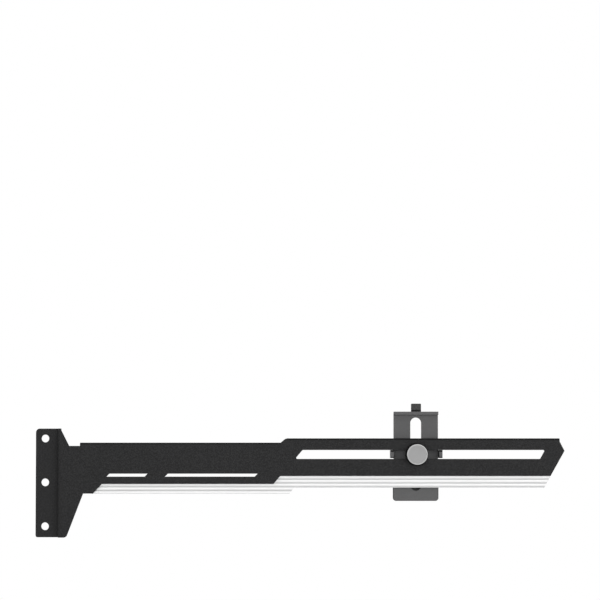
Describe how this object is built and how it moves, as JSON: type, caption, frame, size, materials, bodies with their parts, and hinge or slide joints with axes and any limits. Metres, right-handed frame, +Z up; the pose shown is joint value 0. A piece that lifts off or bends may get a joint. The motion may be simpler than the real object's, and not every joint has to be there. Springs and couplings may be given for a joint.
{
  "type": "graphics card support bracket",
  "caption": "Folded arm that screws to expansion slots and holds up a graphics card on a padded rest, which slides along and lifts, clamped by a thumb screw, with a light bar below.",
  "frame": {"origin": "centre of the middle screw hole, on the flange's mating (back) face", "axes": "+X along the arm from the flange to the tip, +Y through the mating face towards the case, +Z up, the way the rest lifts"},
  "size_m": [0.2446, 0.0208, 0.0619],
  "materials": {
    "black_coat": "fine matt black powder coat",
    "grey_coat": "smooth matt grey coat",
    "milky_guide": "milky white translucent, ribbed",
    "black_plastic": "fine moulded grain",
    "board": "white solder mask",
    "led_package": "white package with a clear window",
    "capacitor": "brown ceramic with tinned ends",
    "socket_plastic": "natural white nylon",
    "pin_metal": "tinned brass",
    "zinc_steel": "bright zinc",
    "pad_rubber": "matt dark grey rubber",
    "tape_foam": "black closed-cell foam, sticky on both sides",
    "knob_metal": "matt anodised grey, knurled",
    "washer_plastic": "black nylon"
  },
  "bodies": {
    "arm": {"arm_plate": "black_coat", "light_guide": "milky_guide", "light_carrier": "black_plastic", "led_board": "board", "leds": "led_package", "board_capacitors": "capacitor", "lead_socket": "socket_plastic", "socket_pins": "pin_metal", "carrier_studs": "zinc_steel", "carrier_washers": "zinc_steel", "carrier_nuts": "zinc_steel"},
    "carriage": {"guide_clip": "grey_coat", "clip_nut": "zinc_steel"},
    "lift": {"lift_plate": "grey_coat", "pad_tape": "tape_foam", "rest_pad": "pad_rubber"},
    "washer": {"knob_washer": "washer_plastic"},
    "thumb_screw": {"thumb_knob": "knob_metal", "thumb_stud": "zinc_steel"}
  },
  "joints": [
    {"name": "carriage_slide", "type": "slide", "parent": "arm", "child": "carriage", "axis": [1, 0, 0], "range_m": [-0.04, 0.0445]},
    {"name": "lift_slide", "type": "slide", "parent": "carriage", "child": "lift", "axis": [0, 0, 1], "range_m": [-0.0105, 0.0145]},
    {"name": "screw_travel", "type": "slide", "parent": "carriage", "child": "washer", "axis": [0, -1, 0], "range_m": [0, 0.0021]},
    {"name": "screw_turn", "type": "hinge", "parent": "washer", "child": "thumb_screw", "pos_m": [0.17195, -0.0105, 0.01293], "axis": [0, -1, 0], "range_deg": [0, 1080]}
  ],
  "couplings": [
    {"joint": "screw_turn", "follows": "screw_travel", "rad_per_m": 8976}
  ]
}
